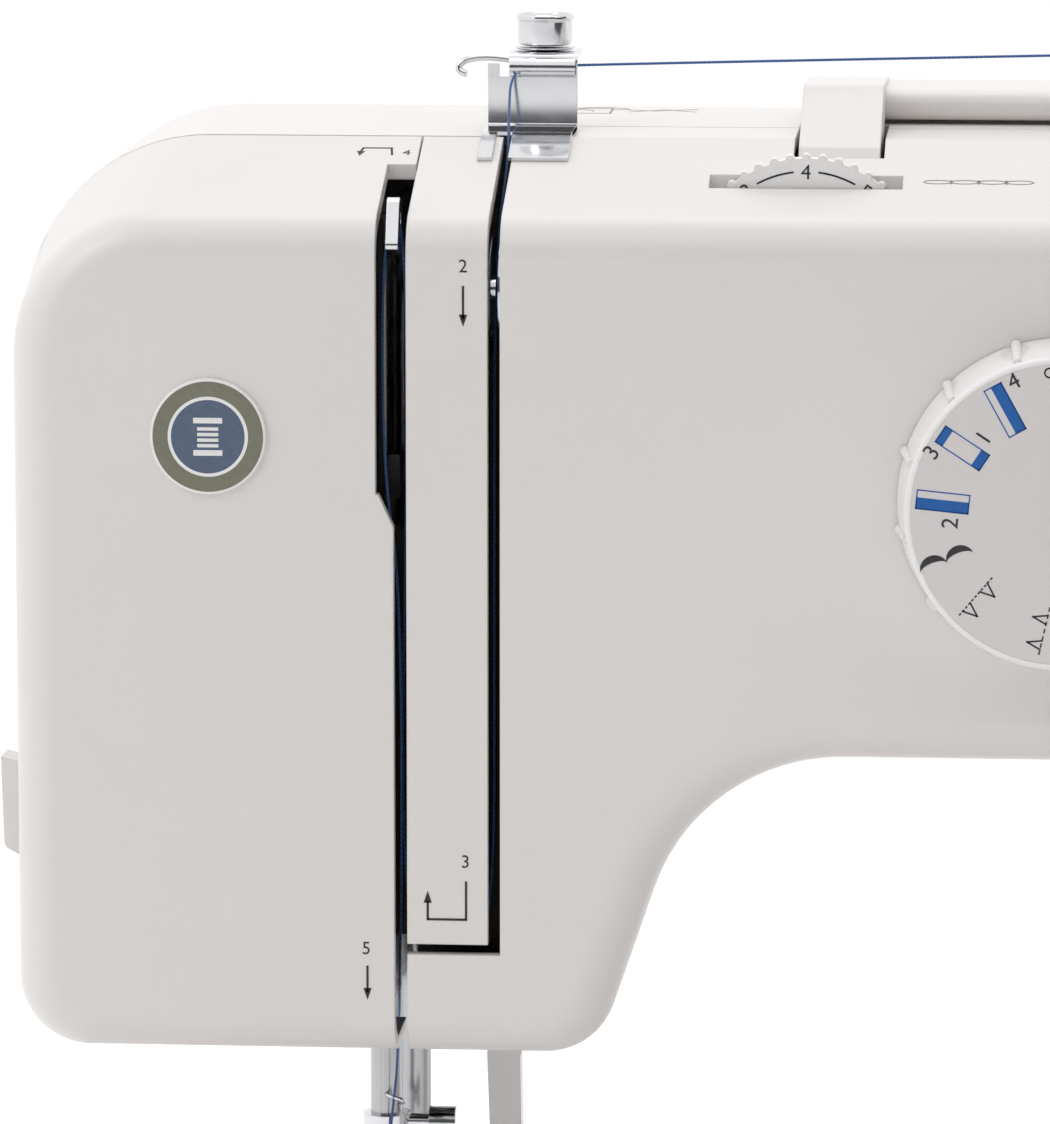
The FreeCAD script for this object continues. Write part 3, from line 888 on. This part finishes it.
column_hole = box(COLUMN_LEFT + 4, CASE_RIGHT - 4, CASE_FRONT + 4, CASE_REAR - 4, 60, 90)
bed_cover = join(cut(free_arm, arm_hollow), cut(block, block_hollow)).cut([
    arm_hollow, column_hole,
    plate_z([(-156.3, -38.3, 5.3), (-93.7, -38.3, 5.3), (-93.7, 28.3, 5.3), (-156.3, 28.3, 5.3)], 60.0, 90.0),
])
DOOR_L, DOOR_R, DOOR_LOW, DOOR_HIGH = -152.0, -98.0, 36.0, 69.0
door_hole = box(DOOR_L - CLEAR, DOOR_R + CLEAR, ARM_FRONT - 5, ARM_FRONT + WALL + 1,
                DOOR_LOW - CLEAR, DOOR_HIGH + CLEAR)
DOOR_HINGE_Y, DOOR_HINGE_Z = ARM_FRONT + WALL / 2, DOOR_LOW + WALL / 2
DOOR_PIN = 0.8
door_pin_hole = rod("x", DOOR_HINGE_Y, DOOR_HINGE_Z, DOOR_PIN + RUN, DOOR_L - 2.0, DOOR_R + 2.0)
save("bed_cover", cut(bed_cover, door_hole, door_pin_hole))
door = join(box(DOOR_L, DOOR_R, ARM_FRONT, ARM_FRONT + WALL, DOOR_HINGE_Z, DOOR_HIGH),
            rod("x", DOOR_HINGE_Y, DOOR_HINGE_Z, WALL / 2, DOOR_L, DOOR_R),
            rod("x", DOOR_HINGE_Y, DOOR_HINGE_Z, DOOR_PIN, DOOR_L - 1.8, DOOR_R + 1.8))
door = door.cut(rod("x", ARM_FRONT - 1.6, DOOR_HIGH - 6.0, 3.0, NEEDLE_X - 9, NEEDLE_X + 9))
save("shuttle_cover", door)

base = plate_z([(TABLE_LEFT, BASE_FRONT, 12), (CASE_RIGHT, BASE_FRONT, 9), (CASE_RIGHT, BASE_REAR, 9),
                (TABLE_LEFT, BASE_REAR, 12)], FOOT_H, BASE_TOP)
base_pocket = plate_z([(TABLE_LEFT + 4, BASE_FRONT + 4, 9), (CASE_RIGHT - 4, BASE_FRONT + 4, 6),
                       (CASE_RIGHT - 4, BASE_REAR - 4, 6), (TABLE_LEFT + 4, BASE_REAR - 4, 9)], FOOT_H - 1, BASE_TOP - 3)
ribs = [box(x, x + 3, BASE_FRONT + 3, BASE_REAR - 3, FOOT_H, BASE_TOP - 2) for x in (-120.0, -40.0, 40.0, 110.0)]
foot_places = [(-176.0, -64.0), (-176.0, 64.0), (156.0, -64.0), (156.0, 64.0)]
foot_seats = [rod("z", x, y, 11.0, FOOT_H, BASE_TOP - 2) for x, y in foot_places]
save("base_plate", join(cut(base, base_pocket), *ribs, *foot_seats))
feet = [soften(rod("z", x, y, 9.0, 0.0, FOOT_H), 1.0, lambda p: p.z < 1e-3) for x, y in foot_places]
save("rubber_feet", Part.makeCompound(feet))

table_right = COLUMN_LEFT - 0.4
table = plate_z([(TABLE_LEFT, BASE_FRONT, 12), (table_right, BASE_FRONT, 0), (table_right, BASE_REAR, 0),
                 (TABLE_LEFT, BASE_REAR, 12)], BASE_TOP + 0.4, BED_TOP)
table = soften(table, 2.5, lambda p: abs(p.z - BED_TOP) < 1e-3 and p.x < table_right - 1e-3)
arm_slot = upright_round(box(ARM_LEFT - 0.6, COLUMN_LEFT + 40, ARM_FRONT - 0.6, ARM_REAR + 0.6, 0, 90), 13.0)
front_store = box(TABLE_LEFT + 12, table_right - WALL, BASE_FRONT + WALL, ARM_FRONT - 3.0,
                  BASE_TOP + WALL, BED_TOP - WALL)
rear_store = box(TABLE_LEFT + 12, table_right - WALL, ARM_REAR + 3.0, BASE_REAR - WALL, 0, BED_TOP - WALL)
door_room = box(-160.0, -90.0, ARM_FRONT - 5, ARM_FRONT + 3, BASE_TOP + WALL, BED_TOP - WALL)
save("extension_table", cut(table, arm_slot, front_store, rear_store, door_room))

# ---------------------------------------------------------------- spool, winder, screws, thread
pin = join(rod("x", SPOOL_Y, SPOOL_Z, PIN_R, 80.0, 142.0),
           plate_x([(SPOOL_Y - 9, CASE_TOP + 0.05, 2), (SPOOL_Y - 6, SPOOL_Z + 4, 5), (SPOOL_Y + 6, SPOOL_Z + 4, 5),
                    (SPOOL_Y + 9, CASE_TOP + 0.05, 2)], 139.0, 144.0))
save("spool_pin", pin)
spool = join(tube("x", SPOOL_Y, SPOOL_Z, 6.0, 3.2, SPOOL_LEFT, SPOOL_RIGHT),
             tube("x", SPOOL_Y, SPOOL_Z, SPOOL_R, 5.0, SPOOL_LEFT + 2, SPOOL_RIGHT - 2))
save("thread_spool", spool)
CAP_R = SPOOL_R - 2.5
spool_cap = join(tube("x", SPOOL_Y, SPOOL_Z, CAP_R, PIN_R + 0.1, SPOOL_LEFT - 3.0, SPOOL_LEFT - 0.4),
                 tube("x", SPOOL_Y, SPOOL_Z, 5.0, PIN_R + 0.1, SPOOL_LEFT - 7.0, SPOOL_LEFT - 2.0))
save("spool_cap", spool_cap)
winder = join(rod("z", WINDER_X, WINDER_Y, WINDER_R, CASE_TOP - 10, CASE_TOP + 16.0),
              rod("z", WINDER_X, WINDER_Y, 6.8, CASE_TOP + 0.4, CASE_TOP + 2.6))
save("winder_spindle", winder)

plate_screws = [cut(join(rod("z", x, SCREW_Y, 2.7, BED_TOP - 1.2, BED_TOP - 0.1),
                         rod("z", x, SCREW_Y, 1.5, BED_TOP - 5, BED_TOP - 1)),
                    box(x - 3, x + 3, SCREW_Y - 0.4, SCREW_Y + 0.4, BED_TOP - 0.7, BED_TOP + 1))
                for x in PLATE_SCREWS_X]
rear_screw_places = [(-160.0, 170.0), (-160.0, 270.0), (0.0, 215.0), (0.0, 280.0), (150.0, 280.0), (150.0, 100.0)]
rear_screws = [cut(rod("y", x, z, 3.2, CASE_REAR + 0.02, CASE_REAR + 1.6),
                   box(x - 2.6, x + 2.6, CASE_REAR + 0.9, CASE_REAR + 3, z - 0.4, z + 0.4),
                   box(x - 0.4, x + 0.4, CASE_REAR + 0.9, CASE_REAR + 3, z - 2.6, z + 2.6))
               for x, z in rear_screw_places]
save("case_screws", Part.makeCompound(rear_screws + plate_screws))

THREAD_R = 0.25
thread_route = [
    (104.0, 10.2, 318.6), (-95.6, 0.6, 314.45), (-102.0, -6.0, 314.2), (-101.7, -15.6, 306.2), (-101.3, -21.0, 299.0),
    (-101.9, -33.0, 290.0), (-101.9, -41.0, 277.5), (-101.9, -45.6, 262.0), (-101.9, -46.5, 215.0),
    (-101.9, -46.5, 169.0), (-105.0, -46.6, 159.8), (-115.2, -46.7, 159.8), (-118.2, -46.8, 169.0),
    (-118.3, -47.0, 208.0), (-117.4, -48.0, 239.0), (-117.4, -48.0, 291.4),
    (-121.6, -48.0, 291.4), (-121.6, -49.6, 246.0), (-118.4, -50.0, 226.0),
    (-118.3, -49.6, 170.0), (-119.8, -40.0, 152.0), (-121.4, -22.0, 141.0), (-122.6, -16.2, 128.0),
]
save("upper_thread", path_tube(thread_route, THREAD_R))

print("nodes:", len(SAVED))
